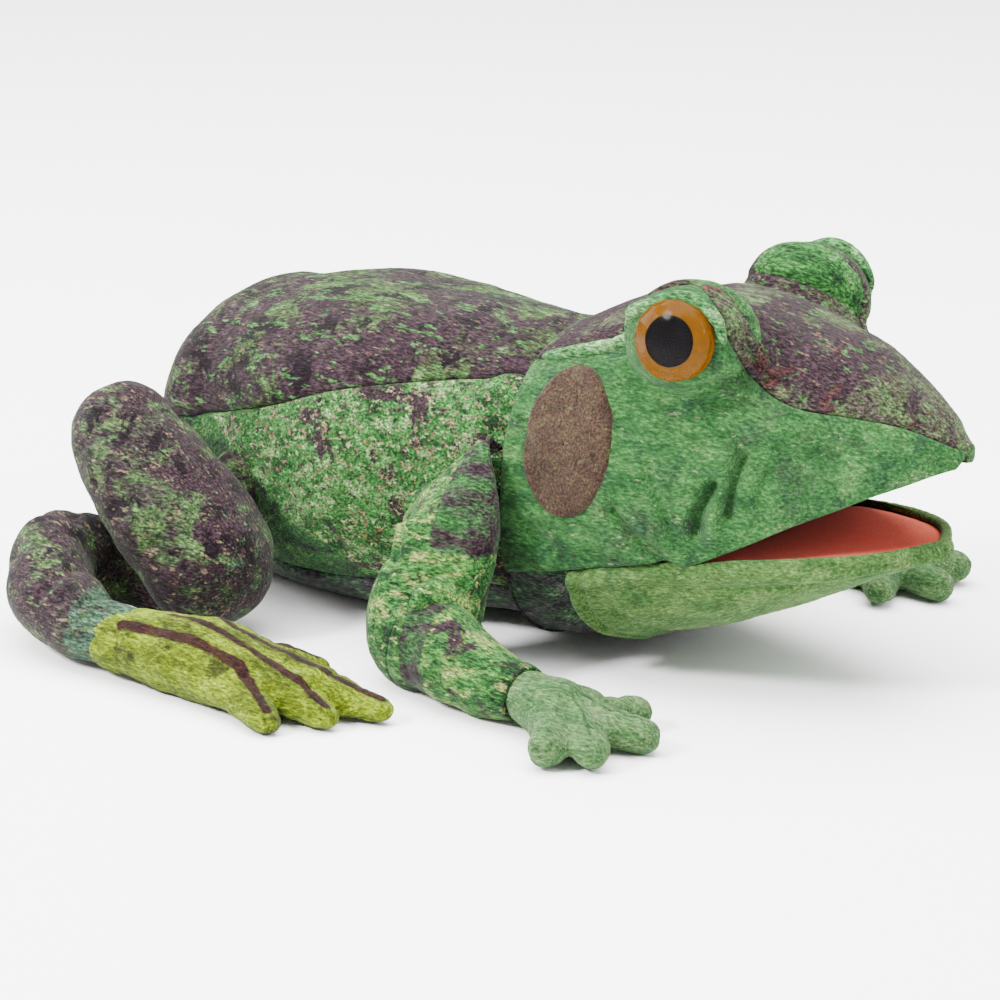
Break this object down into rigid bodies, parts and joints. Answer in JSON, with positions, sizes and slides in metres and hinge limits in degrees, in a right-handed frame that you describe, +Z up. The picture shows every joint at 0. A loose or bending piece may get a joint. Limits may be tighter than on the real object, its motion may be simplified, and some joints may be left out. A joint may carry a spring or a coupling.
{
  "type": "frog hand puppet",
  "caption": "Plush frog hand puppet, sitting, with a sleeve for the arm, a mouth that the hand opens, plastic eyes and stuffed jointed legs.",
  "frame": {"origin": "on the ground, under the middle of the puppet's bounding box", "axes": "+X runs from the rump to the snout, +Y to the frog's left, +Z up"},
  "size_m": [0.3585, 0.3536, 0.1602],
  "materials": {
    "back_plush": "short-pile plush, mottled dark purple-brown and green",
    "flank_plush": "short-pile plush, mottled green and purple with pale speckles",
    "cheek_plush": "short-pile plush, mottled bright green",
    "eardrum_plush": "short-pile plush, brown with olive speckles",
    "chin_plush": "short-pile plush, pale yellow-green",
    "limb_plush": "short-pile plush, streaked green, purple and orange",
    "hind_plush": "short-pile plush, mottled purple-black and green",
    "hand_plush": "short-pile plush, light green",
    "foot_plush": "short-pile plush, yellow-green with dark stripes",
    "mouth_lining": "smooth coral velour",
    "sleeve_fabric": "smooth woven lining",
    "filling": "white fibre filling",
    "board": "stiff board",
    "eye_black": "moulded, glossy",
    "eye_amber": "amber, with fine dark flecks",
    "eye_clear": "clear, polished",
    "washer_plastic": "moulded"
  },
  "bodies": {
    "torso": {"back_panel": "back_plush", "right_flank_panel": "flank_plush", "left_flank_panel": "flank_plush", "belly_panel": "back_plush", "torso_stuffing": "filling", "sleeve_lining": "sleeve_fabric", "sleeve_hem": "back_plush"},
    "neck": {"neck_lining": "sleeve_fabric"},
    "head": {"head_top_panel": "back_plush", "right_cheek_panel": "cheek_plush", "left_cheek_panel": "cheek_plush", "throat_panel": "chin_plush", "head_stuffing": "filling", "finger_pocket": "sleeve_fabric", "palate_board": "board", "palate_lining": "mouth_lining", "right_eardrum_patch": "eardrum_plush", "right_eyelid": "cheek_plush", "right_eye_back": "eye_black", "right_eye_iris": "eye_amber", "right_eye_pupil": "eye_black", "right_eye_lens": "eye_clear", "right_eye_washer": "washer_plastic", "left_eardrum_patch": "eardrum_plush", "left_eyelid": "cheek_plush", "left_eye_back": "eye_black", "left_eye_iris": "eye_amber", "left_eye_pupil": "eye_black", "left_eye_lens": "eye_clear", "left_eye_washer": "washer_plastic"},
    "jaw": {"chin_panel": "chin_plush", "chin_padding": "filling", "thumb_pocket": "sleeve_fabric", "jaw_board": "board", "jaw_lining": "mouth_lining"},
    "right_upper_arm": {"right_upper_arm_skin": "limb_plush", "right_upper_arm_stuffing": "filling"},
    "right_forearm": {"right_forearm_skin": "limb_plush", "right_forearm_stuffing": "filling"},
    "right_hand": {"right_hand": "hand_plush"},
    "right_thigh": {"right_thigh_skin": "hind_plush", "right_thigh_stuffing": "filling"},
    "right_shank": {"right_shank_skin": "hind_plush", "right_shank_stuffing": "filling"},
    "right_foot": {"right_foot": "foot_plush"},
    "left_upper_arm": {"left_upper_arm_skin": "limb_plush", "left_upper_arm_stuffing": "filling"},
    "left_forearm": {"left_forearm_skin": "limb_plush", "left_forearm_stuffing": "filling"},
    "left_hand": {"left_hand": "hand_plush"},
    "left_thigh": {"left_thigh_skin": "hind_plush", "left_thigh_stuffing": "filling"},
    "left_shank": {"left_shank_skin": "hind_plush", "left_shank_stuffing": "filling"},
    "left_foot": {"left_foot": "foot_plush"}
  },
  "joints": [
    {"name": "head_turn", "type": "hinge", "parent": "torso", "child": "neck", "pos_m": [-0.005, 0, 0.064], "axis": [0, 0, 1], "range_deg": [-12, 12], "stiffness_Nm_per_rad": 2},
    {"name": "head_nod", "type": "hinge", "parent": "neck", "child": "head", "pos_m": [-0.005, 0, 0.064], "axis": [0, 1, 0], "range_deg": [-12, 8], "stiffness_Nm_per_rad": 8},
    {"name": "jaw_open", "type": "hinge", "parent": "head", "child": "jaw", "pos_m": [0.082, 0, 0.053], "axis": [0, 1, 0], "range_deg": [-12, 16], "stiffness_Nm_per_rad": 1},
    {"name": "right_shoulder", "type": "hinge", "parent": "torso", "child": "right_upper_arm", "pos_m": [-0.004, -0.078, 0.08], "axis": [0, 1, 0], "range_deg": [-10, 25], "stiffness_Nm_per_rad": 0.3},
    {"name": "right_elbow", "type": "hinge", "parent": "right_upper_arm", "child": "right_forearm", "pos_m": [-0.008, -0.093, 0.019], "axis": [0, 1, 0], "range_deg": [-10, 30], "stiffness_Nm_per_rad": 0.2},
    {"name": "right_wrist", "type": "hinge", "parent": "right_forearm", "child": "right_hand", "pos_m": [0.061, -0.109, 0.013], "axis": [0, 1, 0], "range_deg": [-20, 20], "stiffness_Nm_per_rad": 0.05},
    {"name": "right_hip", "type": "hinge", "parent": "torso", "child": "right_thigh", "pos_m": [-0.147, -0.093, 0.072], "axis": [0, 0, -1], "range_deg": [0, 35], "stiffness_Nm_per_rad": 0.5},
    {"name": "right_knee", "type": "hinge", "parent": "right_thigh", "child": "right_shank", "pos_m": [-0.118, -0.097, 0.009], "axis": [0, -1, 0], "range_deg": [0, 60], "stiffness_Nm_per_rad": 0.5},
    {"name": "right_ankle", "type": "hinge", "parent": "right_shank", "child": "right_foot", "pos_m": [-0.098, -0.152, 0.015], "axis": [0, 1, 0], "range_deg": [-20, 20], "stiffness_Nm_per_rad": 0.2},
    {"name": "left_shoulder", "type": "hinge", "parent": "torso", "child": "left_upper_arm", "pos_m": [-0.004, 0.078, 0.08], "axis": [0, 1, 0], "range_deg": [-10, 25], "stiffness_Nm_per_rad": 0.3},
    {"name": "left_elbow", "type": "hinge", "parent": "left_upper_arm", "child": "left_forearm", "pos_m": [-0.008, 0.093, 0.019], "axis": [0, 1, 0], "range_deg": [-10, 30], "stiffness_Nm_per_rad": 0.2},
    {"name": "left_wrist", "type": "hinge", "parent": "left_forearm", "child": "left_hand", "pos_m": [0.061, 0.109, 0.013], "axis": [0, 1, 0], "range_deg": [-20, 20], "stiffness_Nm_per_rad": 0.05},
    {"name": "left_hip", "type": "hinge", "parent": "torso", "child": "left_thigh", "pos_m": [-0.147, 0.093, 0.072], "axis": [0, 0, 1], "range_deg": [0, 35], "stiffness_Nm_per_rad": 0.5},
    {"name": "left_knee", "type": "hinge", "parent": "left_thigh", "child": "left_shank", "pos_m": [-0.118, 0.097, 0.009], "axis": [0, -1, 0], "range_deg": [0, 60], "stiffness_Nm_per_rad": 0.5},
    {"name": "left_ankle", "type": "hinge", "parent": "left_shank", "child": "left_foot", "pos_m": [-0.098, 0.152, 0.015], "axis": [0, 1, 0], "range_deg": [-20, 20], "stiffness_Nm_per_rad": 0.2}
  ]
}
